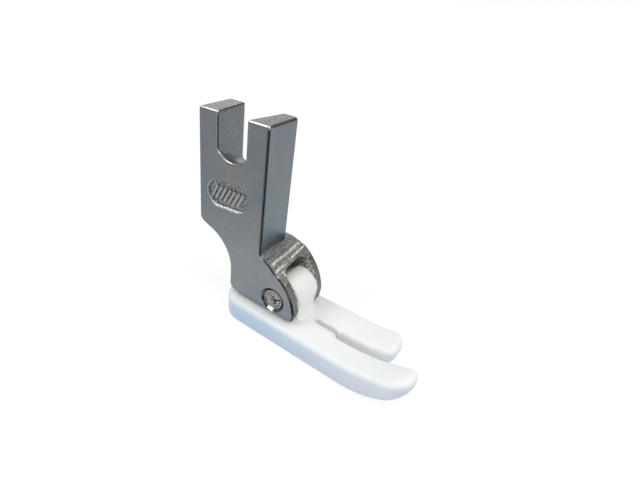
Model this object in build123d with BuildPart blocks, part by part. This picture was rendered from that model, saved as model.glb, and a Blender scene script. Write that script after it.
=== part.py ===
from build123d import *
from math import asin, cos, degrees, radians, sin, sqrt, tan
import os

os.makedirs("parts", exist_ok=True)

# Hinged presser foot: a plated steel shank, a white low-friction sole, the pin that joins them,
# and the small spring and plunger that hold the sole level.
# X runs across the foot, -Y points to the toes and +Z is up.
# The origin lies on the sole's bottom face, straight under the hinge axis.

# Heights above the sole's bottom face
overall_height = 33.7
hinge_height = 7.0
cheek_foot_height = 4.65
crease_height = 14.05

# Clamping block at the top of the shank
fork_width = 8.4
block_thickness = 6.6
block_front = 2.9
block_depth = 12.65
block_top_round = 0.5
edge_round = 0.35

# Clamp slot for the screw that holds the shank; it widens and its floor drops towards the bar's side
slot_width = 5.2
slot_depth = 6.6
slot_from_front = 6.35
slot_floor_rise = 1.05
slot_front_draft = 1.2
slot_back_draft = 0.6
slot_floor_drop = 3.1
slot_corner_round = 0.6
slot_edge_round = 0.3

# Leg below the block, seen from the side
leg_back = 8.8
leg_sweep_radius = 6.2
leg_sweep_height = 8.55
leg_sweep_angle = 70
leg_foot_round = 1.4
block_corner_round = 1.3

# Shoulder in front of the leg; it rises a little from the plain side to the stepped side
crest_forward_of_block = 1.85
crest_height = 13.17
crest_rise = 0.1
lip_forward_of_block = 2.75
lip_height = 12.64
lip_rise = 0.17
crest_round = 2.0
belly_reach = 2.5
belly_height = 10.25
belly_rise = 0.12
cheek_reach = 4.02
cheek_reach_height = 6.45
cheek_reach_rise = 0.08
cheek_toe_reach = 3.8
cheek_toe_round = 0.4

# Pocket between the cheeks
cheek_thickness = 1.5
pocket_back = 3.9
pocket_round = 1.2
pocket_corner_round = 1.3
lip_land = 0.35

# Oval recess with a plain knurl in it
recess_length = 7.8
recess_width = 4.0
recess_depth = 0.4
recess_from_front = 6.95
recess_below_top = 12.3
recess_tilt = 4
recess_rim = 0.25
rib_width = 0.36
rib_length = 2.6
rib_pitch = 0.85
rib_count = 7
rib_lean = 28
rib_height = 0.28

# Hinge pin and its countersunk seats
pin_diameter = 3.0
seat_diameter = 4.3
pin_head_diameter = 3.3
pin_head_inset = 0.15
pin_head_round = 0.3
pin_running_gap = 0.04

# Sole
sole_width = 11.4
sole_thickness = 4.0
heel_reach = 9.9
heel_round = 4.2
long_toe_reach = 22.9
short_toe_reach = 18.7
long_toe_rise_length = 9.6
short_toe_flat_length = 0.8
toe_bottom_radius = 13.0
top_rise_length = 10.9
toe_top_radius = 24.0
long_toe_round_share = 0.7
long_toe_inner_share = 0.195
short_toe_round_share = 0.37
short_toe_inner_share = 0.34
top_edge_round = 0.8
bottom_edge_round = 0.7

# Needle slot and the wider gap between the toes
slot_offset = -0.35
needle_slot_width = 0.95
needle_slot_start = 5.9
toe_gap_width = 1.5
toe_gap_start = 10.1
toe_gap_round = 0.4

# Hub of the sole, which turns on the pin between the cheeks
hub_side_gap = 0.1
hub_nose_radius = 3.1
hub_nose_reach = 4.05
hub_nose_height = 7.25
hub_back_radius = 2.65
chin_angle = 7
nape_angle = 12
hub_flat_height = 2.4
hub_edge_round = 0.25
hub_root_round = 0.9

# Spring and plunger in a slanted blind bore above the hub
bore_lean = 40
bore_diameter = 2.2
bore_end = 10.4
drill_point_length = 0.6
drill_point_angle = 59
plunger_gap = 0.28
plunger_side_gap = 0.05
plunger_length = 3.9
plunger_nose_round = 0.3
spring_wire = 0.3
spring_outer_gap = 0.1
spring_turns = 6
spring_end_gap = 0.05

# Places worked out from the sizes above
near_face = -fork_width / 2
far_face = fork_width / 2
block_far_face = near_face + block_thickness
block_back = block_front + block_depth
recess_height = overall_height - recess_below_top
slot_centre = block_front + slot_from_front
slot_floor = overall_height - slot_depth
pocket_half = fork_width / 2 - cheek_thickness
pocket_ceiling = lip_height - lip_land
pin_radius = pin_diameter / 2
hub_half = pocket_half - hub_side_gap
head_radius = pin_head_diameter / 2
pin_half_length = far_face - pin_head_inset
head_seat = far_face - (seat_diameter - pin_head_diameter) / 2
shaft_end = far_face - (seat_diameter - pin_diameter) / 2
plunger_start = hub_flat_height + plunger_gap
spring_start = plunger_start + plunger_length + spring_end_gap + spring_wire / 2
spring_end = bore_end - spring_end_gap - spring_wire / 2
spring_radius = bore_diameter / 2 - spring_outer_gap - spring_wire / 2
recess_plane = Plane(
    origin=(near_face, block_front + recess_from_front, recess_height),
    x_dir=(0, -1, 0),
    z_dir=(-1, 0, 0),
)

# Corners of the hub outline, as (y, z): chin and brow on the nose circle, nape on the back circle
lean_y = sin(radians(bore_lean))
lean_z = cos(radians(bore_lean))
hub_foot = sole_thickness / 2
nose_y = hub_nose_radius - hub_nose_reach
nose_to_flat = hub_flat_height - nose_y * lean_y - (hub_nose_height - hinge_height) * lean_z
nose_chord = sqrt(hub_nose_radius**2 - nose_to_flat**2)
back_chord = sqrt(hub_back_radius**2 - hub_flat_height**2)
chin = (
    nose_y - hub_nose_radius * cos(radians(chin_angle)),
    hub_nose_height - hub_nose_radius * sin(radians(chin_angle)),
)
brow = (
    nose_y - hub_nose_radius * lean_y,
    hub_nose_height + hub_nose_radius * lean_z,
)
flat_start = (
    nose_y + nose_to_flat * lean_y - nose_chord * lean_z,
    hub_nose_height + nose_to_flat * lean_z + nose_chord * lean_y,
)
flat_end = (
    hub_flat_height * lean_y + back_chord * lean_z,
    hinge_height + hub_flat_height * lean_z - back_chord * lean_y,
)
nape = (
    hub_back_radius * cos(radians(nape_angle)),
    hinge_height + hub_back_radius * sin(radians(nape_angle)),
)
root_y = chin[0] + (chin[1] - sole_thickness) * tan(radians(chin_angle))
hub_foot_y = chin[0] + (chin[1] - hub_foot) * tan(radians(chin_angle))

side_half = sole_width / 2
gap_near = slot_offset - toe_gap_width / 2
gap_far = slot_offset + toe_gap_width / 2
long_toe_width = side_half + gap_near
short_toe_width = side_half - gap_far
long_toe_round = long_toe_width * long_toe_round_share
long_toe_inner_round = long_toe_width * long_toe_inner_share
short_toe_round = short_toe_width * short_toe_round_share
short_toe_inner_round = short_toe_width * short_toe_inner_share
toe_bottom_start = long_toe_reach - long_toe_rise_length
short_toe_bottom_start = toe_gap_start + short_toe_flat_length
toe_top_start = long_toe_reach - top_rise_length
top_sweep = degrees(asin(top_rise_length / toe_top_radius))
bottom_sweep = degrees(asin(long_toe_rise_length / toe_bottom_radius))
short_toe_rise_length = short_toe_reach - short_toe_bottom_start + sole_thickness / 4
short_toe_sweep = degrees(asin(short_toe_rise_length / toe_bottom_radius))
bore_plane = Plane(origin=(0, 0, hinge_height), x_dir=(1, 0, 0), z_dir=(0, lean_y, lean_z))


def shank_side(x):
    """Outline of the shank seen from the side, on the plane at x: block, swept back, leg and shoulder."""
    sweep_centre = leg_back + leg_sweep_radius
    turn = radians(leg_sweep_angle)
    sweep_end_y = sweep_centre - leg_sweep_radius * cos(turn)
    sweep_end_z = leg_sweep_height + leg_sweep_radius * sin(turn)
    sweep_middle_y = sweep_centre - leg_sweep_radius * cos(turn / 2)
    sweep_middle_z = leg_sweep_height + leg_sweep_radius * sin(turn / 2)
    back_corner_z = sweep_end_z + (block_back - sweep_end_y) / tan(turn)
    crest = (block_front - crest_forward_of_block, crest_height + crest_rise * x)
    lip = (block_front - lip_forward_of_block, lip_height + lip_rise * x)
    belly = (-belly_reach, belly_height + belly_rise * x)
    reach = (-cheek_reach, cheek_reach_height + cheek_reach_rise * x)
    with BuildSketch(Plane.YZ.offset(x)) as side:
        with BuildLine():
            Polyline(
                lip,
                crest,
                (block_front, crease_height),
                (block_front, overall_height),
                (block_back, overall_height),
                (block_back, back_corner_z),
                (sweep_end_y, sweep_end_z),
            )
            ThreePointArc(
                (sweep_end_y, sweep_end_z),
                (sweep_middle_y, sweep_middle_z),
                (leg_back, leg_sweep_height),
            )
            Polyline(
                (leg_back, leg_sweep_height),
                (leg_back, cheek_foot_height),
                (-cheek_toe_reach, cheek_foot_height),
                reach,
            )
            ThreePointArc(reach, belly, lip)
        make_face()
        fillet(side.vertices().sort_by_distance(crest)[0], crest_round)
        fillet(side.vertices().sort_by_distance((block_front, overall_height))[0], block_top_round)
        fillet(side.vertices().sort_by_distance((block_back, overall_height))[0], block_top_round)
        fillet(side.vertices().sort_by_distance((block_back, back_corner_z))[0], block_corner_round)
        fillet(side.vertices().sort_by_distance((leg_back, cheek_foot_height))[0], leg_foot_round)
        fillet(side.vertices().sort_by_distance((-cheek_toe_reach, cheek_foot_height))[0], cheek_toe_round)
    return side.sketch


def slot_outline(x):
    """The clamp slot's outline, open at the top, in the plane at x."""
    share = (x - near_face) / block_thickness
    front = slot_centre - slot_width / 2 - share * slot_front_draft
    back = slot_centre + slot_width / 2 + share * slot_back_draft
    floor = slot_floor - share * slot_floor_drop
    with BuildSketch(Plane.YZ.offset(x)) as outline:
        with BuildLine():
            Polyline(
                (front, floor + slot_floor_rise),
                (front, 2 * overall_height),
                (back, 2 * overall_height),
                (back, floor + slot_floor_rise),
            )
            ThreePointArc(
                (back, floor + slot_floor_rise),
                ((front + back) / 2, floor),
                (front, floor + slot_floor_rise),
            )
        make_face()
        corners = outline.vertices().filter_by(lambda v: v.Y < overall_height)
        fillet(corners, slot_corner_round)
    return outline.sketch


with BuildPart() as shank:
    # Both side outlines joined by straight lines, so that the shoulder rises across the foot
    loft([shank_side(near_face), shank_side(far_face)], ruled=True)

    # The block is thinner than the fork: the step beside it is the face that meets the presser bar
    with BuildSketch(Plane.YZ.offset(block_far_face)) as step:
        with Locations((block_front + block_depth / 2, crease_height + overall_height / 2)):
            Rectangle(2 * block_depth, overall_height)
    extrude(amount=fork_width, mode=Mode.SUBTRACT)

    # Rounds along the outline of every side face
    side_faces = shank.faces().filter_by(Axis.X)
    outline = side_faces.edges().filter_by(lambda e: abs(e.center().X - block_far_face) > 0.1
                                           or e.center().Z > crease_height + 0.1)
    fillet(outline, edge_round)

    # Clamp slot, open at the top
    slot_ends = [slot_outline(near_face - edge_round), slot_outline(block_far_face + edge_round)]
    loft(slot_ends, ruled=True, mode=Mode.SUBTRACT)
    slot_rim = shank.edges().filter_by(
        lambda e: abs(e.center().Y - slot_centre) < slot_width / 2 + slot_front_draft + edge_round
        and e.center().Z > slot_floor - slot_floor_drop - edge_round
        and min(abs(e.center().X - near_face), abs(e.center().X - block_far_face)) < edge_round / 10
    )
    fillet(slot_rim, slot_edge_round)

    # Pocket for the hub: its ceiling follows the slanted lip, and its corners are rounded
    with BuildSketch(Plane.XZ.offset(-pocket_back)) as pocket:
        Polygon(
            (-pocket_half, 0),
            (pocket_half, 0),
            (pocket_half, pocket_ceiling + lip_rise * pocket_half),
            (-pocket_half, pocket_ceiling - lip_rise * pocket_half),
            align=None,
        )
        fillet(pocket.vertices().filter_by(lambda v: v.Y > cheek_foot_height), pocket_corner_round)
    extrude(amount=block_depth, mode=Mode.SUBTRACT)
    fillet(shank.edges().sort_by_distance((0, pocket_back, pocket_ceiling))[0], pocket_round)

    # Blind bore with a drill point, for the spring and the plunger
    with BuildSketch(bore_plane.offset(hub_flat_height)) as bore:
        Circle(bore_diameter / 2)
    extrude(amount=bore_end - hub_flat_height, mode=Mode.SUBTRACT)
    with BuildSketch(bore_plane.offset(bore_end)) as drill_point:
        Circle(bore_diameter / 2)
    extrude(amount=drill_point_length, taper=drill_point_angle, mode=Mode.SUBTRACT)

    # Pin holes, countersunk outside so that the pin can be staked
    with Locations(
        Plane(origin=(near_face, 0, hinge_height), z_dir=(-1, 0, 0)),
        Plane(origin=(far_face, 0, hinge_height), z_dir=(1, 0, 0)),
    ):
        CounterSinkHole(pin_radius, seat_diameter / 2, depth=fork_width / 2, counter_sink_angle=90)

    # Oval recess with slanted ribs on its floor
    with BuildSketch(recess_plane) as recess:
        SlotOverall(recess_length, recess_width, rotation=recess_tilt)
    extrude(amount=-recess_depth, mode=Mode.SUBTRACT)
    recess_rim_edges = shank.edges().filter_by(
        lambda e: abs(e.center().X - near_face) < edge_round / 10
        and abs(e.center().Z - recess_height) < recess_width / 2 + edge_round
        and abs(e.center().Y - recess_plane.origin.Y) < recess_length / 2 + edge_round
    )
    chamfer(recess_rim_edges, recess_rim)
    with BuildSketch(recess_plane.offset(-recess_depth)) as ribs:
        with GridLocations(rib_pitch, rib_length, rib_count, 1):
            Rectangle(rib_width, rib_length, rotation=-rib_lean)
    extrude(amount=rib_height)

shank.part.label = "shank"
export_step(shank.part, "parts/shank.step")


with BuildPart() as hinge_pin:
    # Plain pin whose ends are staked into the countersinks
    with BuildSketch(Plane.XZ) as pin_half:
        with BuildLine():
            Polyline(
                (-pin_half_length, hinge_height),
                (-pin_half_length, hinge_height + head_radius),
                (-head_seat, hinge_height + head_radius),
                (-shaft_end, hinge_height + pin_radius),
                (shaft_end, hinge_height + pin_radius),
                (head_seat, hinge_height + head_radius),
                (pin_half_length, hinge_height + head_radius),
                (pin_half_length, hinge_height),
                close=True,
            )
        make_face()
        for end in (-pin_half_length, pin_half_length):
            rim_point = (end, hinge_height + head_radius)
            fillet(pin_half.vertices().sort_by_distance(rim_point)[0], pin_head_round)
    revolve(axis=Axis((0, 0, hinge_height), (1, 0, 0)))

hinge_pin.part.label = "hinge_pin"
export_step(hinge_pin.part, "parts/hinge_pin.step")


with BuildPart() as spring_plunger:
    # Round-nosed plunger, just clear of the flat on the hub
    with BuildSketch(bore_plane.offset(plunger_start)) as plunger_end:
        Circle(bore_diameter / 2 - plunger_side_gap)
    extrude(amount=plunger_length)
    rims = spring_plunger.edges().filter_by(GeomType.CIRCLE)
    fillet(rims.sort_by_distance((0, 0, hinge_height))[0], plunger_nose_round)

spring_plunger.part.label = "spring_plunger"
export_step(spring_plunger.part, "parts/spring_plunger.step")


with BuildPart() as return_spring:
    # Compression spring between the plunger and the end of the bore
    with BuildLine() as coil:
        Helix(
            pitch=(spring_end - spring_start) / spring_turns,
            height=spring_end - spring_start,
            radius=spring_radius,
            center=bore_plane.offset(spring_start).origin,
            direction=bore_plane.z_dir,
        )
    with BuildSketch(Plane(origin=coil.line @ 0, z_dir=coil.line % 0)) as wire:
        Circle(spring_wire / 2)
    sweep(path=coil.line, is_frenet=True)

return_spring.part.label = "return_spring"
export_step(return_spring.part, "parts/return_spring.step")


with BuildPart() as sole:
    # Hub, rounded along both sides before it joins the slab
    with BuildSketch(Plane.YZ.offset(-hub_half)) as hub:
        with BuildLine():
            Polyline(
                (hub_back_radius, hinge_height), (hub_back_radius, hub_foot), (hub_foot_y, hub_foot), chin
            )
            ThreePointArc(chin, brow, flat_start)
            Line(flat_start, flat_end)
            ThreePointArc(flat_end, nape, (hub_back_radius, hinge_height))
        make_face()
    extrude(amount=2 * hub_half)
    hub_rims = sole.faces().filter_by(Axis.X).edges()
    fillet(hub_rims.filter_by(lambda e: e.center().Z > hub_foot + hub_edge_round), hub_edge_round)

    # Slab with upturned toes: the side outline, cut to the outline seen from above
    with BuildSketch(Plane.YZ.offset(-side_half)) as slab_side:
        with BuildLine():
            top_curve = CenterArc(
                (-toe_top_start, sole_thickness + toe_top_radius), toe_top_radius, -90, -top_sweep
            )
            bottom_curve = CenterArc(
                (-toe_bottom_start, toe_bottom_radius), toe_bottom_radius, -90, -bottom_sweep
            )
            Line(top_curve @ 1, bottom_curve @ 1)
            Polyline(bottom_curve @ 0, (heel_reach, 0), (heel_reach, sole_thickness), top_curve @ 0)
        make_face()
    extrude(amount=sole_width)
    with BuildSketch(Plane.XY) as plan:
        with BuildLine():
            Polyline(
                (-side_half, heel_reach),
                (side_half, heel_reach),
                (side_half, -short_toe_reach),
                (gap_far, -short_toe_reach),
                (gap_far, -toe_gap_start),
                (gap_near, -toe_gap_start),
                (gap_near, -long_toe_reach),
                (-side_half, -long_toe_reach),
                close=True,
            )
        make_face()
        for x, y, corner_round in (
            (-side_half, heel_reach, heel_round),
            (side_half, heel_reach, heel_round),
            (side_half, -short_toe_reach, short_toe_round),
            (gap_far, -short_toe_reach, short_toe_inner_round),
            (gap_far, -toe_gap_start, toe_gap_round),
            (gap_near, -toe_gap_start, toe_gap_round),
            (gap_near, -long_toe_reach, long_toe_inner_round),
            (-side_half, -long_toe_reach, long_toe_round),
        ):
            fillet(plan.vertices().sort_by_distance((x, y))[0], corner_round)
    extrude(amount=overall_height, mode=Mode.INTERSECT)
    with BuildSketch(Plane.YZ.offset(slot_offset)) as under_short_toe:
        with BuildLine():
            rising_curve = CenterArc(
                (-short_toe_bottom_start, toe_bottom_radius), toe_bottom_radius, -90, -short_toe_sweep
            )
            Polyline(rising_curve @ 1, (-2 * long_toe_reach, 0), rising_curve @ 0)
        make_face()
    extrude(amount=sole_width, mode=Mode.SUBTRACT)

    # Rounds along the top and the bottom rim
    clear_of_hub = toe_gap_start - toe_gap_width / 2
    top_faces = sole.faces().filter_by(lambda f: f.normal_at().Z > 0.5 and f.center().Z < hinge_height)
    top_rim = top_faces.edges().filter_by(
        lambda e: (abs(e.center().X) > hub_half + hub_side_gap or e.center().Y < -clear_of_hub)
        and abs(e.center().Y + toe_top_start) > top_edge_round / 10
    )
    fillet(top_rim, top_edge_round)
    bottom_faces = sole.faces().filter_by(
        lambda f: f.normal_at().Z < -0.5 and f.center().Z < hinge_height / 2
    )
    bottom_rim = bottom_faces.edges().filter_by(
        lambda e: abs(e.center().Y + toe_bottom_start) > bottom_edge_round / 10
        and abs(e.center().Y + short_toe_bottom_start) > bottom_edge_round / 10
    )
    fillet(bottom_rim, bottom_edge_round)

    # Root in front of the hub
    with BuildSketch(Plane.YZ.offset(hub_edge_round - hub_half)) as root:
        Polygon(
            chin,
            (0, chin[1]),
            (0, hub_foot),
            (2 * chin[0], hub_foot),
            (2 * chin[0], sole_thickness),
            (root_y, sole_thickness),
            align=None,
        )
        fillet(root.vertices().sort_by_distance((root_y, sole_thickness))[0], hub_root_round)
    extrude(amount=2 * (hub_half - hub_edge_round))

    # Needle slot, running into the gap between the toes
    with BuildSketch(Plane.XY.offset(-sole_thickness)) as needle_slot:
        with Locations((slot_offset, -(needle_slot_start + toe_gap_start + toe_gap_width) / 2)):
            SlotOverall(toe_gap_start + toe_gap_width - needle_slot_start, needle_slot_width, rotation=90)
    extrude(amount=3 * sole_thickness, mode=Mode.SUBTRACT)

    # Running bore for the hinge pin
    with BuildSketch(Plane.YZ.offset(-side_half)) as pin_bore:
        with Locations((0, hinge_height)):
            Circle(pin_radius + pin_running_gap)
    extrude(amount=sole_width, mode=Mode.SUBTRACT)

sole.part.label = "sole"
export_step(sole.part, "parts/sole.step")
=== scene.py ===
import math

import bpy
import numpy as np
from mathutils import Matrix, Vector


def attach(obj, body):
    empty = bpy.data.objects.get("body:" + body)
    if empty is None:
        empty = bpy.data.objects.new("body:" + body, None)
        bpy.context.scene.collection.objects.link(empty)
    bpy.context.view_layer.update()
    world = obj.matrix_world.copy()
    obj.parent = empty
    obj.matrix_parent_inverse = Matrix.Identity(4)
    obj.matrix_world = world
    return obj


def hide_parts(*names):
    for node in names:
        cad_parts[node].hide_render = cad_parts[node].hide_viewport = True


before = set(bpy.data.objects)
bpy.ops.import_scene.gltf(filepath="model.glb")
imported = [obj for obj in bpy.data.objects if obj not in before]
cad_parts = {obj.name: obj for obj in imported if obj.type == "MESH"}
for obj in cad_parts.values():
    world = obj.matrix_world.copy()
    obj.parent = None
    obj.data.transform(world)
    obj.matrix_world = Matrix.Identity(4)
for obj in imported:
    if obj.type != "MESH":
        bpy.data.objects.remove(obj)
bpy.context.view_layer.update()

MM = 0.001

# Places and sizes on the foot in millimetres, which the finishes use
FORK_HALF = 4.2
BLOCK_FAR_FACE = 2.4
BLOCK_FRONT = 2.9
CREASE_HEIGHT = 14.05
TOP_HEIGHT = 33.7
EDGE_ROUND = 0.35
HINGE_HEIGHT = 7.0
RECESS_CENTRE = (9.85, 21.4)
SLOT_CENTRE = 9.25
SLOT_HALF = 2.6
SLOT_FLOOR = 27.1
CREST = 1.05
LIP = 0.15
POCKET_HALF = 2.7
POCKET_TOP = 12.29
POCKET_BACK = 3.9
SEAT_RADIUS = 2.15
SEAT_GLINT = (-4.0, 0.35, 5.1)
FRONT_PIT = (0.62, 2.9, 18.89)

# How much the slot's walls spread and its floor drops for each millimetre towards the bar
SLOT_SPREAD = 0.14
SLOT_DROP = 0.47

# The staked pin: sizes in millimetres, then the mesh's counts
PIN_RADIUS = 1.5
PIN_HEAD_RADIUS = 1.65
PIN_HALF_LENGTH = 4.05
PIN_LIP_ROUND = 0.12
STAKE_DEPTH_SPAN = 0.3
PIN_FACE_RINGS = 56
PIN_POINTS_AROUND = 160

# Colours of the steel
COOL_STEEL = (0.19, 0.219, 0.243, 1.0)
WARM_STEEL = (0.23, 0.236, 0.246, 1.0)
MILLED_STEEL = (0.2, 0.199, 0.192, 1.0)
MILLED_SPARK = (0.62, 0.61, 0.58, 1.0)
CUT_STEEL = (0.24, 0.24, 0.24, 1.0)
RIB_STEEL = (0.36, 0.375, 0.385, 1.0)
RECESS_STEEL = (0.22, 0.228, 0.24, 1.0)
SLOT_STEEL = (0.152, 0.168, 0.178, 1.0)
# Painted light in the pocket between the cheeks, where shade falls: a lighter steel and bright
# glints
POCKET_PAINTED_LIGHT = (0.5, 0.49, 0.47, 1.0)
POCKET_PAINTED_GLINT = (0.95, 0.94, 0.92, 1.0)
# The cheeks' inner walls: darker steel with painted bright glints
FORK_WALL_DARK = (0.2, 0.197, 0.19, 1.0)
FORK_WALL_PAINTED_GLINT = (0.85, 0.84, 0.81, 1.0)
# Painted highlight along the shoulder's crest and lip
RIDGE_PAINTED_HIGHLIGHT = (0.85, 0.84, 0.82, 1.0)
RUBBED_EDGE = (0.34, 0.35, 0.36, 1.0)
# The cheeks' rounded rims: a painted dark reflection broken by painted highlights
RIM_PAINTED_DARK_REFLECTION = (0.075, 0.08, 0.085, 1.0)
RIM_PAINTED_HIGHLIGHT = (0.5, 0.51, 0.52, 1.0)
# Painted dark reflection along the near upright front edge
UPRIGHT_PAINTED_REFLECTION = (0.085, 0.092, 0.1, 1.0)
# The pin's countersunk seat: painted shade, with a painted glint at its lower rim
SEAT_PAINTED_SHADE = (0.1, 0.105, 0.11, 1.0)
SEAT_PAINTED_GLINT = (0.95, 0.95, 0.93, 1.0)
PIT_DARK = (0.03, 0.03, 0.032, 1.0)
SCRATCH_STEEL = (0.4, 0.41, 0.42, 1.0)

# Painted light: what the steel's colour is multiplied by low and high on the block's front, cooler
# low down and warmer high up
FRONT_PAINTED_LIGHT_LOW = (0.79, 0.9, 0.92, 1.0)
FRONT_PAINTED_LIGHT_HIGH = (0.91, 0.88, 0.9, 1.0)

# Colours of the sole
SOLE_COOL = (0.868, 0.876, 0.87, 1.0)
SOLE_WARM = (0.888, 0.888, 0.874, 1.0)
SOLE_SPECK = (0.6, 0.59, 0.56, 1.0)
SOLE_SCRATCH = (0.74, 0.75, 0.76, 1.0)
# Painted cool shade low on the sole's sides towards the heel, and on the long toe's front
SOLE_SIDE_PAINTED_SHADE = (0.65, 0.76, 0.86, 1.0)
SOLE_TOE_PAINTED_SHADE = (0.66, 0.69, 0.8, 1.0)
# Painted warm light on the hub
SOLE_HUB_PAINTED_LIGHT = (0.905, 0.9, 0.862, 1.0)

WHITE = (1.0, 1.0, 1.0, 1.0)

# Stage: lengths in metres, light levels where 1 is white
FLOOR_HALF = 4.0
FLOOR_DROP = 0.02 * MM
FLOOR_BOUNCE = (0.52, 0.59, 0.76, 1.0)
FLOOR_GLOW = 1.04
FLOOR_GLOW_SHARE = 0.82
FLOOR_SHADOW_END = (0.1, 0.3)
WORLD_COLOUR = (0.87, 0.94, 1.0, 1.0)
WORLD_LEVEL = 0.42
LAMP_TARGET = (0.0, 0.0, 0.012)


# ---- Node helpers


def add_node(tree, kind, inputs=None, **settings):
    """Adds a node with its settings; each input gets a fixed value or a link."""
    made = tree.nodes.new(kind)
    for name, value in settings.items():
        setattr(made, name, value)
    for key, value in (inputs or {}).items():
        if isinstance(value, bpy.types.NodeSocket):
            tree.links.new(value, made.inputs[key])
        else:
            made.inputs[key].default_value = value
    return made


def maths(tree, operation, first, second=0.0):
    """One Math node: first and second joined by the operation."""
    made = add_node(tree, "ShaderNodeMath", {0: first, 1: second}, operation=operation)
    return made.outputs[0]


def step(tree, value, start, end, low=0.0, high=1.0):
    """A smooth step of the value, low before start and high after end."""
    inputs = {0: value, 1: start, 2: end, 3: low, 4: high}
    made = add_node(tree, "ShaderNodeMapRange", inputs, interpolation_type="SMOOTHSTEP")
    return made.outputs[0]


def product(tree, *values):
    """All the values multiplied together."""
    result = values[0]
    for value in values[1:]:
        result = maths(tree, "MULTIPLY", result, value)
    return result


def total(tree, *values):
    """All the values added together."""
    result = values[0]
    for value in values[1:]:
        result = maths(tree, "ADD", result, value)
    return result


def blend_colour(tree, factor, first, second, way="MIX"):
    """Two colours mixed by the factor."""
    inputs = {0: factor, 6: first, 7: second}
    made = add_node(tree, "ShaderNodeMix", inputs, data_type="RGBA", blend_type=way)
    return made.outputs[2]


def stretched(tree, place, factors):
    """The place with each axis multiplied by its own factor."""
    made = add_node(tree, "ShaderNodeVectorMath", {0: place, 1: factors}, operation="MULTIPLY")
    return made.outputs[0]


def noise(tree, place, scale, detail=2.0, roughness=0.5, distortion=0.0):
    """Soft noise between 0 and 1, with scale cells to the millimetre."""
    inputs = {
        "Vector": place,
        "Scale": scale,
        "Detail": detail,
        "Roughness": roughness,
        "Distortion": distortion,
    }
    return add_node(tree, "ShaderNodeTexNoise", inputs).outputs[0]


def near(tree, value, middle, reach):
    """1 where the value equals the middle, falling smoothly to 0 at the reach."""
    off = maths(tree, "ABSOLUTE", maths(tree, "SUBTRACT", value, middle))
    return step(tree, off, reach, 0.0)


def within(tree, value, middle, reach, soft=0.1):
    """1 where the value is closer to the middle than the reach, with a soft border."""
    off = maths(tree, "ABSOLUTE", maths(tree, "SUBTRACT", value, middle))
    return step(tree, off, reach, reach - soft)


def tinted(tree, colour, level):
    """The colour made lighter or darker by the level."""
    return blend_colour(tree, 1.0, colour, level, "MULTIPLY")


def spot(tree, place, centre, outer, inner):
    """1 inside the inner distance from a point in mm, falling smoothly to 0 at the outer one."""
    inputs = {0: place, 1: centre}
    away = add_node(tree, "ShaderNodeVectorMath", inputs, operation="DISTANCE")
    return step(tree, away.outputs["Value"], outer, inner)


def shade(level, cool=0.0):
    """A grey of the given level, a little bluer where cool is above zero."""
    return (level * (1 - cool), level, level * (1 + cool), 1.0)


def bare_material(name):
    """A material with an empty node tree."""
    material = bpy.data.materials.new(name)
    material.use_nodes = True
    material.node_tree.nodes.clear()
    return material, material.node_tree


def new_material(name):
    """A material with its output, its surface shader and the place on the object in mm."""
    material, tree = bare_material(name)
    surface = add_node(tree, "ShaderNodeBsdfPrincipled")
    add_node(tree, "ShaderNodeOutputMaterial", {"Surface": surface.outputs[0]})
    coordinates = add_node(tree, "ShaderNodeTexCoord")
    inputs = {0: coordinates.outputs["Object"], 3: 1 / MM}
    place = add_node(tree, "ShaderNodeVectorMath", inputs, operation="SCALE").outputs[0]
    return material, tree, surface, place


def add_relief(tree, surface, height):
    """Bumps the surface by a height in millimetres."""
    bump = add_node(tree, "ShaderNodeBump", {"Strength": 1.0, "Distance": MM, "Height": height})
    tree.links.new(bump.outputs[0], surface.inputs["Normal"])


def add_object(name, data):
    """An object with this data, linked to the scene."""
    made = bpy.data.objects.new(name, data)
    bpy.context.scene.collection.objects.link(made)
    return made


# ---- Shared effects


def open_group(name, inputs, outputs):
    """An empty node group with named inputs and outputs, given as (name, kind, value)."""
    group = bpy.data.node_groups.new(name, "ShaderNodeTree")
    for label, kind, value in inputs:
        socket = group.interface.new_socket(label, in_out="INPUT", socket_type=kind)
        if value is not None:
            socket.default_value = value
    for label, kind in outputs:
        group.interface.new_socket(label, in_out="OUTPUT", socket_type=kind)
    given = group.nodes.new("NodeGroupInput").outputs
    return group, given, group.nodes.new("NodeGroupOutput").inputs


def place_group(tree, group, inputs):
    """Puts a group into a material with its own values and gives its outputs."""
    return add_node(tree, "ShaderNodeGroup", inputs, node_tree=group).outputs


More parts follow.
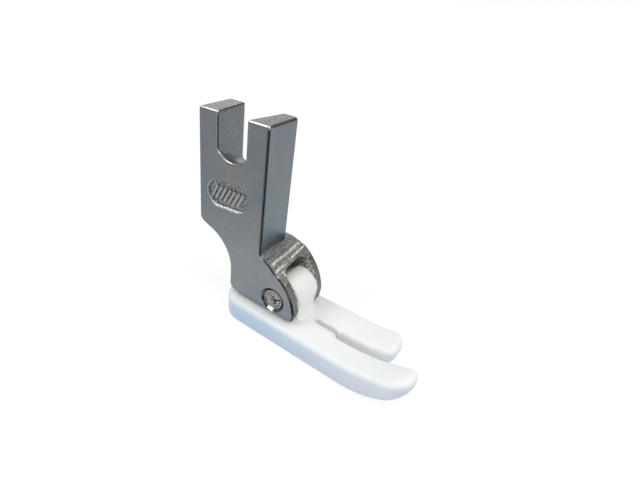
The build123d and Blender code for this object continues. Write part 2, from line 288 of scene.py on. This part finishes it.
def make_satin_grain():
    """The plain skin of tumbled and plated steel.

    Slow patches move the colour between a cool and a warm tone. A fine grain and a
    few hairlines change the roughness and the height.
    """
    group, given, out = open_group(
        "Satin grain",
        [
            ("Place", "NodeSocketVector", None),
            ("Cool tone", "NodeSocketColor", shade(0.25)),
            ("Warm tone", "NodeSocketColor", shade(0.25)),
            ("Roughness", "NodeSocketFloat", 0.3),
            ("Grain depth", "NodeSocketFloat", 0.001),
        ],
        [
            ("Color", "NodeSocketColor"),
            ("Roughness", "NodeSocketFloat"),
            ("Height", "NodeSocketFloat"),
        ],
    )
    place = given["Place"]
    patches = noise(group, place, 0.16, 1.5, 0.45, 0.3)
    patch_mask = step(group, patches, 0.3, 0.7)
    clouds = noise(group, place, 0.9, 2.0, 0.5)
    grain = noise(group, place, 7.0, 2.0, 0.5)
    hairs = noise(group, stretched(group, place, (9.0, 9.0, 0.5)), 1.0, 2.0, 0.5)
    hair_mask = step(group, hairs, 0.68, 0.8)
    tone = blend_colour(group, patch_mask, given["Cool tone"], given["Warm tone"])
    level = total(
        group,
        step(group, clouds, 0.2, 0.8, 0.96, 1.04),
        step(group, grain, 0.2, 0.8, -0.02, 0.02),
        maths(group, "MULTIPLY", hair_mask, 0.03),
    )
    mixed = blend_colour(group, 1.0, tone, level, "MULTIPLY")
    group.links.new(mixed, out["Color"])
    rough = total(
        group,
        given["Roughness"],
        step(group, clouds, 0.2, 0.8, -0.03, 0.04),
        step(group, grain, 0.2, 0.8, -0.03, 0.03),
    )
    group.links.new(rough, out["Roughness"])
    bumps = maths(group, "SUBTRACT", grain, maths(group, "MULTIPLY", hair_mask, 0.5))
    height = product(group, bumps, given["Grain depth"])
    group.links.new(height, out["Height"])
    return group


def make_light_marks():
    """Handling marks: short fine scratches in two directions and a few tiny specks, as masks."""
    group, given, out = open_group(
        "Light marks",
        [("Place", "NodeSocketVector", None), ("Amount", "NodeSocketFloat", 0.5)],
        [("Scratches", "NodeSocketFloat"), ("Specks", "NodeSocketFloat")],
    )
    place = given["Place"]
    turned = add_node(group, "ShaderNodeMapping", {0: place, 2: (0.5, 0.35, 0.8)}).outputs[0]
    first = noise(group, stretched(group, turned, (0.5, 7.0, 7.0)), 1.0, 1.5, 0.5)
    second = noise(group, stretched(group, turned, (6.0, 0.45, 6.0)), 1.0, 1.5, 0.5)
    lines = maths(
        group, "MAXIMUM", step(group, first, 0.69, 0.76), step(group, second, 0.7, 0.77)
    )
    spots = step(group, noise(group, place, 2.6, 1.0, 0.4), 0.74, 0.8)
    group.links.new(product(group, lines, given["Amount"]), out["Scratches"])
    group.links.new(product(group, spots, given["Amount"]), out["Specks"])
    return group


satin_grain = make_satin_grain()
light_marks = make_light_marks()


# ---- Steel


def shank_zones(tree, place):
    """Masks for the differently finished parts of the shank and for the places where light and
    shade are painted, from the place in mm.
    """
    axes = add_node(tree, "ShaderNodeSeparateXYZ", {0: place}).outputs
    x, y, z = axes[0], axes[1], axes[2]
    side = maths(tree, "ABSOLUTE", x)
    low = step(tree, z, CREASE_HEIGHT + 0.35, CREASE_HEIGHT - 0.05)
    milled = product(
        tree,
        low,
        step(tree, y, BLOCK_FRONT + 0.35, BLOCK_FRONT - 0.15),
        step(tree, side, FORK_HALF - 0.12, FORK_HALF - 0.3),
    )
    fork_edges = product(
        tree,
        step(tree, side, FORK_HALF - EDGE_ROUND - 0.02, FORK_HALF - EDGE_ROUND + 0.1),
        step(tree, side, FORK_HALF - 0.005, FORK_HALF - 0.05),
    )
    block_edges = product(
        tree,
        step(tree, x, BLOCK_FAR_FACE - EDGE_ROUND - 0.02, BLOCK_FAR_FACE - EDGE_ROUND + 0.1),
        step(tree, x, BLOCK_FAR_FACE - 0.005, BLOCK_FAR_FACE - 0.05),
        step(tree, z, CREASE_HEIGHT + 0.3, CREASE_HEIGHT + 0.6),
    )
    edges = maths(tree, "MAXIMUM", fork_edges, block_edges)
    top = step(tree, z, TOP_HEIGHT - 0.12, TOP_HEIGHT - 0.02)
    recess = product(
        tree,
        step(tree, x, -FORK_HALF + 0.03, -FORK_HALF + 0.12),
        step(tree, x, -FORK_HALF + 0.9, -FORK_HALF + 0.6),
        within(tree, y, RECESS_CENTRE[0], 4.4),
        within(tree, z, RECESS_CENTRE[1], 2.7),
    )
    inward = maths(tree, "ADD", x, FORK_HALF)
    from_centre = maths(tree, "ABSOLUTE", maths(tree, "SUBTRACT", y, SLOT_CENTRE))
    wall_place = maths(tree, "SUBTRACT", from_centre, product(tree, inward, SLOT_SPREAD))
    floor_place = total(tree, z, product(tree, inward, SLOT_DROP))
    slot = product(
        tree,
        step(tree, inward, 0.1, 0.25),
        step(tree, x, BLOCK_FAR_FACE - 0.05, BLOCK_FAR_FACE - 0.25),
        step(tree, wall_place, SLOT_HALF + 0.12, SLOT_HALF + 0.08),
        step(tree, floor_place, SLOT_FLOOR - 0.3, SLOT_FLOOR - 0.1),
    )
    # The inside of the pocket between the cheeks, which gets painted light
    pocket = product(
        tree,
        step(tree, side, POCKET_HALF + 0.15, POCKET_HALF + 0.05),
        step(tree, z, POCKET_TOP + 0.1, POCKET_TOP - 0.1),
        step(tree, y, LIP + 0.1, LIP + 0.5),
        step(tree, y, POCKET_BACK + 0.2, POCKET_BACK + 0.1),
    )
    fork_wall = product(
        tree,
        within(tree, side, POCKET_HALF, 0.14, 0.08),
        step(tree, z, POCKET_TOP - 0.1, POCKET_TOP - 0.6),
        step(tree, y, LIP + 0.5, LIP + 0.1),
    )
    cheek_edges = product(
        tree, fork_edges, step(tree, y, BLOCK_FRONT + 0.5, BLOCK_FRONT + 0.3), low
    )
    # Painted dark reflection: a dark line down the near upright front edge of the block
    upright_dark_reflection = product(
        tree,
        within(tree, y, BLOCK_FRONT + 0.1, 0.34, 0.16),
        step(tree, x, -FORK_HALF + 0.42, -FORK_HALF + 0.28),
        step(tree, z, CREASE_HEIGHT - 0.2, CREASE_HEIGHT + 0.3),
        step(tree, z, TOP_HEIGHT - 0.3, TOP_HEIGHT - 0.6),
    )
    block_front = product(
        tree,
        step(tree, y, BLOCK_FRONT + 0.1, BLOCK_FRONT + 0.02),
        step(tree, z, CREASE_HEIGHT, CREASE_HEIGHT + 0.4),
    )
    above_pin = maths(tree, "SUBTRACT", z, HINGE_HEIGHT)
    from_pin = add_node(tree, "ShaderNodeCombineXYZ", {1: y, 2: above_pin})
    pin_distance = add_node(
        tree, "ShaderNodeVectorMath", {0: from_pin.outputs[0]}, operation="LENGTH"
    ).outputs["Value"]
    seat = product(
        tree,
        step(tree, side, FORK_HALF - 0.7, FORK_HALF - 0.6),
        step(tree, pin_distance, SEAT_RADIUS + 0.06, SEAT_RADIUS - 0.04),
    )
    seat_glint = spot(tree, place, SEAT_GLINT, 0.62, 0.38)
    pit = spot(tree, place, FRONT_PIT, 0.13, 0.07)
    across = step(tree, side, FORK_HALF - 0.3, FORK_HALF - 0.8)
    breaks = noise(tree, stretched(tree, place, (1.1, 3.0, 3.0)), 1.0, 2.0, 0.6)
    broken = step(tree, breaks, 0.3, 0.6)
    # Painted highlights: broken bright lines along the crest and the lip of the shoulder
    painted_ridge_highlights = product(
        tree,
        maths(tree, "MAXIMUM", near(tree, y, CREST, 0.3), near(tree, y, LIP, 0.24)),
        step(tree, z, 11.6, 12.0),
        across,
        broken,
    )
    return {
        "x": x,
        "y": y,
        "z": z,
        "milled": milled,
        "edges": edges,
        "top": top,
        "recess": recess,
        "slot": slot,
        "pocket": pocket,
        "fork wall": fork_wall,
        "cheek edges": cheek_edges,
        "upright dark reflection": upright_dark_reflection,
        "block front": block_front,
        "seat": seat,
        "seat glint": seat_glint,
        "pit": pit,
        "side": side,
        "painted_ridge_highlights": painted_ridge_highlights,
    }


def make_shank_steel():
    """Satin plated steel: milled shoulder, cut top ends, stamped recess and rubbed edges, with
    light and shade painted into the colour in the pocket, on the cheeks' inner walls, ridges,
    rims, upright front edge, pin seat, flat sides and block front.
    """
    material, tree, surface, place = new_material("Shank steel")
    zones = shank_zones(tree, place)
    grain = place_group(
        tree,
        satin_grain,
        {
            "Place": place,
            "Cool tone": COOL_STEEL,
            "Warm tone": WARM_STEEL,
            "Roughness": 0.3,
            "Grain depth": 0.0012,
        },
    )
    marks = place_group(tree, light_marks, {"Place": place, "Amount": 0.6})
    streaks = noise(tree, stretched(tree, place, (0.9, 5.5, 5.5)), 1.0, 3.0, 0.6, 0.3)
    pitting = noise(tree, place, 3.2, 3.0, 0.65)
    milled_level = maths(
        tree,
        "MULTIPLY",
        step(tree, streaks, 0.3, 0.72, 0.6, 1.3),
        step(tree, pitting, 0.3, 0.7, 0.55, 1.4),
    )
    milled_colour = tinted(tree, MILLED_STEEL, milled_level)
    # Light specks on the milled shoulder; in the pocket the same mask gives painted glints
    specks_and_glints = step(tree, noise(tree, place, 4.5, 2.0, 0.6), 0.6, 0.72)
    spark_share = maths(tree, "MULTIPLY", specks_and_glints, 0.6)
    milled_colour = blend_colour(tree, spark_share, milled_colour, MILLED_SPARK)
    cut_marks = noise(tree, place, 3.6, 4.0, 0.7)
    cut_level = product(
        tree,
        step(tree, cut_marks, 0.32, 0.7, 0.55, 1.75),
        step(tree, zones["y"], 4.0, 14.0, 0.89, 1.1),
    )
    cut_colour = tinted(tree, CUT_STEEL, cut_level)
    stamp_level = step(tree, pitting, 0.38, 0.62, 0.5, 1.6)
    stamp_depth = step(tree, zones["x"], -FORK_HALF + 0.24, -FORK_HALF + 0.38)
    stamp_tone = blend_colour(tree, stamp_depth, RIB_STEEL, RECESS_STEEL)
    stamp_colour = tinted(tree, stamp_tone, stamp_level)
    wall_colour = tinted(tree, SLOT_STEEL, step(tree, pitting, 0.3, 0.7, 0.85, 1.18))
    # Painted light: the block's front turns cooler low down and warmer high up
    up_front = step(tree, zones["z"], 16.0, TOP_HEIGHT)
    front_painted_light = blend_colour(tree, up_front, FRONT_PAINTED_LIGHT_LOW, FRONT_PAINTED_LIGHT_HIGH)
    front_painted_colour = blend_colour(tree, 1.0, grain["Color"], front_painted_light, "MULTIPLY")
    # Painted light: the flat sides of the fork are darker high up and lighter low down
    on_side = step(tree, zones["side"], FORK_HALF - 0.25, FORK_HALF - 0.1)
    side_painted_light = step(tree, zones["z"], TOP_HEIGHT, 6.0, 0.9, 1.1)
    side_painted_colour = tinted(tree, grain["Color"], side_painted_light)
    colour = blend_colour(tree, on_side, grain["Color"], side_painted_colour)
    colour = blend_colour(tree, zones["block front"], colour, front_painted_colour)
    colour = blend_colour(tree, zones["slot"], colour, wall_colour)
    colour = blend_colour(tree, zones["milled"], colour, milled_colour)
    # Painted light: the pocket's inside gets a lighter steel and bright painted glints, where it
    # lies in shade
    pocket_painted_light = tinted(tree, POCKET_PAINTED_LIGHT, step(tree, pitting, 0.3, 0.7, 0.5, 1.5))
    pocket_painted_light = blend_colour(tree, specks_and_glints, pocket_painted_light, POCKET_PAINTED_GLINT)
    colour = blend_colour(tree, zones["pocket"], colour, pocket_painted_light)
    # Painted light: bright glints on the cheeks' inner walls
    fork_wall_glints = step(tree, noise(tree, place, 3.4, 2.0, 0.6), 0.46, 0.6)
    fork_wall_painted_light = blend_colour(tree, fork_wall_glints, FORK_WALL_DARK, FORK_WALL_PAINTED_GLINT)
    colour = blend_colour(tree, zones["fork wall"], colour, fork_wall_painted_light)
    # Painted highlights along the crest and the lip
    colour = blend_colour(tree, zones["painted_ridge_highlights"], colour, RIDGE_PAINTED_HIGHLIGHT)
    colour = blend_colour(tree, zones["top"], colour, cut_colour)
    colour = blend_colour(tree, zones["recess"], colour, stamp_colour)
    edge_share = maths(tree, "MULTIPLY", zones["edges"], 0.75)
    colour = blend_colour(tree, edge_share, colour, RUBBED_EDGE)
    # Painted light on the cheeks' rims: a painted dark reflection broken by painted highlights
    rim_highlight_noise = noise(tree, stretched(tree, place, (1.5, 0.9, 0.9)), 1.0, 2.0, 0.6)
    rim_highlights = step(tree, rim_highlight_noise, 0.56, 0.64)
    rim_painted_light = blend_colour(tree, rim_highlights, RIM_PAINTED_DARK_REFLECTION, RIM_PAINTED_HIGHLIGHT)
    colour = blend_colour(tree, zones["cheek edges"], colour, rim_painted_light)
    # Painted dark reflection on the upright front edge
    colour = blend_colour(tree, zones["upright dark reflection"], colour, UPRIGHT_PAINTED_REFLECTION)
    # Painted light in the pin's seat: painted shade, with a painted glint low down
    seat_painted_light = blend_colour(tree, zones["seat glint"], SEAT_PAINTED_SHADE, SEAT_PAINTED_GLINT)
    colour = blend_colour(tree, zones["seat"], colour, seat_painted_light)
    colour = blend_colour(tree, zones["pit"], colour, PIT_DARK)
    mark_share = maths(tree, "MULTIPLY", marks["Scratches"], 0.35)
    colour = blend_colour(tree, mark_share, colour, SCRATCH_STEEL)
    tree.links.new(colour, surface.inputs["Base Color"])
    rough = total(
        tree,
        grain["Roughness"],
        maths(tree, "MULTIPLY", zones["milled"], step(tree, streaks, 0.3, 0.7, 0.02, 0.18)),
        maths(tree, "MULTIPLY", zones["top"], 0.06),
        maths(tree, "MULTIPLY", zones["recess"], 0.03),
        maths(tree, "MULTIPLY", zones["edges"], -0.12),
        maths(tree, "MULTIPLY", zones["painted_ridge_highlights"], -0.15),
        maths(tree, "MULTIPLY", zones["seat"], -0.12),
    )
    tree.links.new(rough, surface.inputs["Roughness"])
    height = total(
        tree,
        grain["Height"],
        product(tree, zones["milled"], streaks, 0.05),
        product(tree, zones["milled"], pitting, 0.03),
        product(tree, zones["top"], cut_marks, 0.07),
        product(tree, zones["recess"], pitting, 0.12),
        product(tree, zones["painted_ridge_highlights"], 0.05),
        product(tree, marks["Scratches"], -0.002),
    )
    add_relief(tree, surface, height)
    surface.inputs["Metallic"].default_value = 1.0
    return material


def make_plain_steel(name, cool, warm, roughness, depth, sunk=False):
    """A small steel part: the shared grain and a few marks, darker where it is sunk."""
    material, tree, surface, place = new_material(name)
    grain = place_group(
        tree,
        satin_grain,
        {
            "Place": place,
            "Cool tone": cool,
            "Warm tone": warm,
            "Roughness": roughness,
            "Grain depth": depth,
        },
    )
    marks = place_group(tree, light_marks, {"Place": place, "Amount": 0.6})
    colour = blend_colour(
        tree, maths(tree, "MULTIPLY", marks["Scratches"], 0.5), grain["Color"], shade(0.45)
    )
    colour = blend_colour(tree, maths(tree, "MULTIPLY", marks["Specks"], 0.5), colour, shade(0.08))
    if sunk:
        low = add_node(tree, "ShaderNodeAttribute", attribute_name="stake_depth").outputs["Fac"]
        colour = blend_colour(tree, maths(tree, "MULTIPLY", low, 0.9), colour, shade(0.05))
    tree.links.new(colour, surface.inputs["Base Color"])
    tree.links.new(grain["Roughness"], surface.inputs["Roughness"])
    add_relief(tree, surface, grain["Height"])
    surface.inputs["Metallic"].default_value = 1.0
    return material


# ---- White sole


def make_sole_plastic():
    """White low-friction plastic.

    A waxy, slightly wavy skin with faint marks. A warmer tint on the hub is painted light;
    a darker bluish tint towards the heel, low on its sides and at the long toe's front, is
    painted shade. Light goes about 2 mm deep.
    """
    material, tree, surface, place = new_material("Sole plastic")
    marks = place_group(tree, light_marks, {"Place": place, "Amount": 0.5})
    waves = noise(tree, place, 0.3, 2.0, 0.5)
    skin = noise(tree, place, 5.0, 3.0, 0.55)
    colour = blend_colour(tree, step(tree, waves, 0.3, 0.7), SOLE_COOL, SOLE_WARM)
    speck_share = maths(tree, "MULTIPLY", marks["Specks"], 0.25)
    colour = blend_colour(tree, speck_share, colour, SOLE_SPECK)
    scratch_share = maths(tree, "MULTIPLY", marks["Scratches"], 0.12)
    colour = blend_colour(tree, scratch_share, colour, SOLE_SCRATCH)
    axes = add_node(tree, "ShaderNodeSeparateXYZ", {0: place}).outputs
    x, y, z = axes[0], axes[1], axes[2]
    # Painted shade: darker and bluish low on the sides towards the heel, and on the long toe's
    # front
    side = step(tree, maths(tree, "ABSOLUTE", x), 4.9, 5.5)
    towards_heel = step(tree, y, -20.0, 6.0)
    lower = step(tree, z, 4.6, 2.4, 0.35, 1.0)
    colour = blend_colour(tree, product(tree, side, towards_heel, lower), colour, SOLE_SIDE_PAINTED_SHADE)
    toe_front = product(tree, step(tree, y, -20.6, -22.6), step(tree, z, 6.0, 3.0, 0.3, 1.0))
    colour = blend_colour(tree, toe_front, colour, SOLE_TOE_PAINTED_SHADE)
    # Painted light: a warmer tint over the hub
    colour = blend_colour(tree, step(tree, z, 4.6, 6.2), colour, SOLE_HUB_PAINTED_LIGHT)
    tree.links.new(colour, surface.inputs["Base Color"])
    skin_rough = step(tree, skin, 0.2, 0.8, 0.4, 0.5)
    rough = total(tree, skin_rough, product(tree, marks["Scratches"], 0.2))
    tree.links.new(rough, surface.inputs["Roughness"])
    height = total(
        tree,
        product(tree, waves, 0.03),
        product(tree, skin, 0.0015),
        product(tree, marks["Scratches"], -0.003),
    )
    add_relief(tree, surface, height)
    surface.inputs["Subsurface Weight"].default_value = 0.6
    surface.inputs["Subsurface Radius"].default_value = (1.0, 1.0, 1.0)
    surface.inputs["Subsurface Scale"].default_value = 2.0 * MM
    surface.inputs["IOR"].default_value = 1.38
    return material


# ---- Staked hinge pin


def smooth(value, start, end):
    """Smooth step: 0 at start, 1 at end, with level ends."""
    t = np.clip((value - start) / (end - start), 0.0, 1.0)
    return t * t * (3 - 2 * t)


def stake_relief(radius, angle, turn):
    """Height of the staked end in mm.

    A low crown that falls off with the square of the radius, a ring groove inside the lip,
    chisel notches beside five uneven rays, a centre dimple and a small uneven ripple.
    """
    crown = 0.1 * (1 - (radius / PIN_HEAD_RADIUS) ** 2)
    groove = -0.12 * np.exp(-(((radius - 1.3) / 0.12) ** 2))
    dimple = -0.14 * np.exp(-((radius / 0.25) ** 2))
    notches = np.zeros_like(radius)
    for ray, aside, width, depth, reach in (
        (0.55, 0.2, 0.17, 0.3, 1.15),
        (1.95, -0.15, 0.14, 0.22, 0.8),
        (2.85, 0.1, 0.2, 0.36, 1.2),
        (4.35, -0.2, 0.16, 0.3, 1.1),
        (5.35, 0.1, 0.13, 0.2, 0.75),
    ):
        off = radius * np.sin(angle - ray - turn) - aside
        ahead = radius * np.cos(angle - ray - turn)
        along = smooth(ahead, 0.0, 0.2) * smooth(ahead, reach, reach - 0.25)
        notches = notches - depth * np.exp(-((off / width) ** 2)) * along
    rings = np.sin(7 * radius + 3 * np.sin(2 * angle + turn))
    ripple = 0.035 * rings * np.cos(3 * angle + 5 * radius)
    return crown + groove + dimple + notches + ripple * smooth(radius, 0.1, 0.5)


def closed_tube_faces(rings, around):
    """Quads between rings of points, and a fan from a pole at each end."""
    start = 1 + np.arange(rings - 1)[:, None] * around
    here = np.arange(around)[None, :]
    following = (here + 1) % around
    quads = np.stack(
        [start + here, start + following, start + around + following, start + around + here], -1
    ).reshape(-1, 4)
    last = 1 + rings * around
    ring_end = last - around
    first_fan = np.stack([np.zeros(around, int), 1 + following[0], 1 + here[0]], -1)
    last_fan = np.stack([np.full(around, last), ring_end + here[0], ring_end + following[0]], -1)
    return quads.tolist() + first_fan.tolist() + last_fan.tolist()


def make_staked_pin():
    """The hinge pin as one turned form about the hinge axis.

    A profile of (x, radius) runs from the near end's centre over the lip, along the shaft and
    over the far lip; each point is turned about the axis, and the end faces get the stake relief.
    """
    around = PIN_POINTS_AROUND
    face_radii = np.linspace(0.05, PIN_HEAD_RADIUS - PIN_LIP_ROUND, PIN_FACE_RINGS)
    lip = np.linspace(0.0, math.pi / 2, 8)[1:]
    lip_radii = PIN_HEAD_RADIUS - PIN_LIP_ROUND + PIN_LIP_ROUND * np.sin(lip)
    lip_inset = PIN_LIP_ROUND * (1 - np.cos(lip))
    shaft_inset = np.array([0.28, 0.43, 0.6, 1.2])
    shaft_radii = np.array([PIN_HEAD_RADIUS, PIN_RADIUS + 0.02, PIN_RADIUS, PIN_RADIUS])
    half_radii = np.concatenate([face_radii, lip_radii, shaft_radii])
    half_inset = np.concatenate([np.zeros_like(face_radii), lip_inset, shaft_inset])
    radii = np.concatenate([half_radii, half_radii[::-1]])
    places = np.concatenate([half_inset - PIN_HALF_LENGTH, PIN_HALF_LENGTH - half_inset[::-1]])
    outward = np.concatenate([-np.ones_like(half_radii), np.ones_like(half_radii)])
    turn = np.where(outward < 0, 0.0, 1.1)
    angles = np.linspace(0, 2 * math.pi, around, endpoint=False)
    ring_r, ring_a = np.meshgrid(radii, angles, indexing="ij")
    flat = smooth(np.abs(places), PIN_HALF_LENGTH - 0.1, PIN_HALF_LENGTH)[:, None]
    relief = stake_relief(ring_r, ring_a, turn[:, None]) * flat
    x = places[:, None] + relief * outward[:, None] - 0.1 * outward[:, None] * flat
    y = ring_r * np.cos(ring_a)
    z = HINGE_HEIGHT + ring_r * np.sin(ring_a)
    rings = np.stack([x, y, z], -1).reshape(-1, 3)
    near_pole = [x[0].mean(), 0.0, HINGE_HEIGHT]
    far_pole = [x[-1].mean(), 0.0, HINGE_HEIGHT]
    points = np.vstack([[near_pole], rings, [far_pole]]) * MM
    mesh = bpy.data.meshes.new("staked_pin")
    mesh.from_pydata(points.tolist(), [], closed_tube_faces(len(radii), around))
    mesh.polygons.foreach_set("use_smooth", np.ones(len(mesh.polygons), bool))
    sunk_share = np.clip(-relief, 0.0, STAKE_DEPTH_SPAN).ravel() / STAKE_DEPTH_SPAN
    depth = np.concatenate([[0.5], sunk_share, [0.5]])
    mesh.attributes.new("stake_depth", "FLOAT", "POINT").data.foreach_set("value", depth)
    mesh.update()
    pin = add_object("staked_pin", mesh)
    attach(pin, "shank")
    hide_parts("hinge_pin")
    return pin


# ---- Finishes on the pieces


def dress(piece, material):
    """Gives every material slot of the piece this finish."""
    if not piece.material_slots:
        piece.data.materials.append(material)
    for slot in piece.material_slots:
        slot.material = material


dress(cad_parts["shank"], make_shank_steel())
dress(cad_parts["sole"], make_sole_plastic())
dress(
    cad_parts["spring_plunger"],
    make_plain_steel("Plunger steel", shade(0.42, 0.03), shade(0.46), 0.24, 0.0008),
)
dress(
    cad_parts["return_spring"],
    make_plain_steel("Spring wire", shade(0.32, 0.02), shade(0.36), 0.3, 0.0008),
)
dress(
    make_staked_pin(),
    make_plain_steel("Pin steel", shade(0.27, 0.02), shade(0.32), 0.2, 0.0015, sunk=True),
)


# ---- Stage, light and camera


def ray_share(tree):
    """1 for rays that see the background itself: from the camera, mirrored or passed through."""
    rays = add_node(tree, "ShaderNodeLightPath").outputs
    seen = maths(tree, "MAXIMUM", rays["Is Camera Ray"], rays["Is Glossy Ray"])
    return maths(tree, "MAXIMUM", seen, rays["Is Transmission Ray"])


def make_floor():
    """A wide flat floor under the sole, white to the eye, that keeps a soft shadow."""
    mesh = bpy.data.meshes.new("floor")
    sides = ((-1, -1), (1, -1), (1, 1), (-1, 1))
    corners = [(x * FLOOR_HALF, y * FLOOR_HALF, -FLOOR_DROP) for x, y in sides]
    mesh.from_pydata(corners, [], [(0, 1, 2, 3)])
    floor = add_object("floor", mesh)
    material, tree = bare_material("Floor paper")
    seen = ray_share(tree)
    pale = blend_colour(tree, seen, FLOOR_BOUNCE, WHITE)
    paper = add_node(tree, "ShaderNodeBsdfDiffuse", {"Color": pale})
    white = add_node(tree, "ShaderNodeEmission", {"Color": WHITE, "Strength": FLOOR_GLOW})
    coordinates = add_node(tree, "ShaderNodeTexCoord").outputs["Object"]
    distance = add_node(
        tree, "ShaderNodeVectorMath", {0: coordinates}, operation="LENGTH"
    ).outputs["Value"]
    glow = step(tree, distance, *FLOOR_SHADOW_END, FLOOR_GLOW_SHARE, 1.0)
    share = maths(tree, "MULTIPLY", seen, glow)
    both = add_node(
        tree, "ShaderNodeMixShader", {0: share, 1: paper.outputs[0], 2: white.outputs[0]}
    )
    add_node(tree, "ShaderNodeOutputMaterial", {"Surface": both.outputs[0]})
    mesh.materials.append(material)


def make_world():
    """Plain pale light from all round, white where it is seen as the background."""
    world = bpy.data.worlds.new("Studio")
    bpy.context.scene.world = world
    world.use_nodes = True
    tree = world.node_tree
    tree.nodes.clear()
    lit = {"Color": WORLD_COLOUR, "Strength": WORLD_LEVEL}
    light = add_node(tree, "ShaderNodeBackground", lit)
    white = add_node(tree, "ShaderNodeBackground", {"Color": WHITE, "Strength": 1.0})
    both = add_node(
        tree, "ShaderNodeMixShader", {0: ray_share(tree), 1: light.outputs[0], 2: white.outputs[0]}
    )
    add_node(tree, "ShaderNodeOutputWorld", {"Surface": both.outputs[0]})


def aimed(box, place, target):
    """Puts a lamp at a place, facing the target."""
    back = Vector(place) - Vector(target)
    box.location = place
    box.rotation_mode = "QUATERNION"
    box.rotation_quaternion = back.to_track_quat("Z", "Y")


def make_softbox(name, place, size, radiance, colour):
    """A square lamp that faces the foot; its power follows from its area and brightness."""
    lamp = bpy.data.lights.new(name, "AREA")
    lamp.shape = "SQUARE"
    lamp.size = size
    lamp.energy = radiance * math.pi * size * size
    lamp.color = colour
    aimed(add_object(name, lamp), place, LAMP_TARGET)


def make_card(name, corners, level):
    """A plain card of the given grey, corners in mm, that only mirrored rays see."""
    mesh = bpy.data.meshes.new(name)
    points = (np.array(corners, float) * MM).tolist()
    mesh.from_pydata(points, [], [tuple(range(len(corners)))])
    card = add_object(name, mesh)
    card.visible_camera = False
    card.visible_diffuse = False
    card.visible_shadow = False
    material, tree = bare_material(name)
    grey = add_node(tree, "ShaderNodeEmission", {"Color": shade(level), "Strength": 1.0})
    add_node(tree, "ShaderNodeOutputMaterial", {"Surface": grey.outputs[0]})
    mesh.materials.append(material)


def make_camera():
    """The photograph's viewpoint, close to the foot and above its near side."""
    data = bpy.data.cameras.new("Camera")
    data.lens = 23.25
    data.sensor_width = 36.0
    data.sensor_fit = "HORIZONTAL"
    data.shift_x = 0.0782
    data.shift_y = -0.0227
    data.clip_start = 0.002
    data.clip_end = 20.0
    camera = add_object("Camera", data)
    camera.location = (-0.04514, -0.02699, 0.04955)
    camera.rotation_euler = tuple(math.radians(a) for a in (59.221, -4.215, -52.558))
    bpy.context.scene.camera = camera


make_floor()
make_world()
make_softbox("key", (-0.20, 0.19, 0.28), 0.15, 8.0, (1.0, 0.98, 0.94))
make_softbox("fill", (-0.02, -0.24, 0.33), 0.3, 3.3, (1.0, 0.965, 0.91))
make_card("low_card", [(-14, -3, 0.2), (-8, -14, 0.2), (-25, -170, 0.2), (-170, -70, 0.2)], 0.04)
make_card(
    "right_card",
    [(100, -250, 60), (310, -40, 60), (310, -40, 290), (100, -250, 290)],
    0.16,
)
make_card("left_card", [(-34, 6, 0.2), (-10, 44, 0.2), (-60, 320, 0.2), (-340, 60, 0.2)], 0.88)
make_card(
    "camera_card",
    [(-290, -70, 90), (-150, -270, 90), (-170, -300, 260), (-320, -80, 260)],
    0.04,
)
make_card(
    "back_card",
    [(-420, 120, 12), (-180, 420, 12), (-180, 420, 110), (-420, 120, 110)],
    0.12,
)
make_camera()
bpy.context.scene.view_settings.view_transform = "Standard"
